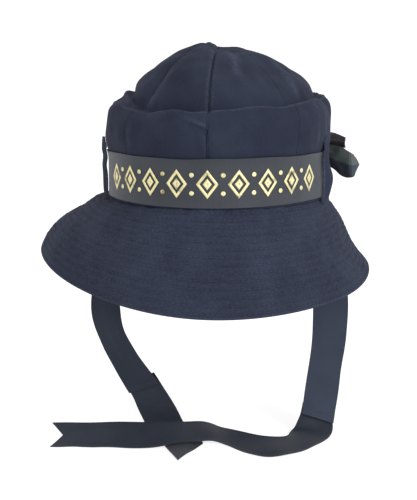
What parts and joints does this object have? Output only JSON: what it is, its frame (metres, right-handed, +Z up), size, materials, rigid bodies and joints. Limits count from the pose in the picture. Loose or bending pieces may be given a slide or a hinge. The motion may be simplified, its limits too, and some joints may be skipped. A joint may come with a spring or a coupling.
{
  "type": "sailor cap",
  "caption": "Soft navy cloth sailor cap with a gored crown, turned-down stitched brim, ribbon band tied in a bow, and long chin ties.",
  "frame": {"origin": "centre of the head opening, in the plane of the seam between crown and brim", "axes": "+Z up through the crown, -Y to the front of the cap, +X to the right as seen from the front"},
  "size_m": [0.2355, 0.2675, 0.2636],
  "materials": {
    "navy_cloth": "navy wool gaberdine, matt, fine twill",
    "band_silk": "black silk ribbon, faint rib and soft sheen",
    "tie_tape": "navy herringbone cotton tape, matt",
    "tie_ribbon": "black-navy petersham ribbon, fine cross rib"
  },
  "bodies": {
    "root": {"crown_gore_front_right": "navy_cloth", "crown_gore_right_front": "navy_cloth", "crown_gore_right_back": "navy_cloth", "crown_gore_back_right": "navy_cloth", "crown_gore_back_left": "navy_cloth", "crown_gore_left_back": "navy_cloth", "crown_gore_left_front": "navy_cloth", "crown_gore_front_left": "navy_cloth", "brim": "navy_cloth", "band_ribbon": "band_silk", "band_carrier_left": "navy_cloth", "band_carrier_right": "navy_cloth", "bow_knot": "band_silk", "bow_loop_front": "band_silk", "bow_loop_back": "band_silk", "bow_tail_upper": "band_silk", "bow_tail_lower": "band_silk", "chin_tape_right": "tie_tape", "chin_ribbon_right": "tie_ribbon", "chin_tape_left": "tie_tape", "chin_ribbon_left": "tie_ribbon"}
  },
  "joints": []
}
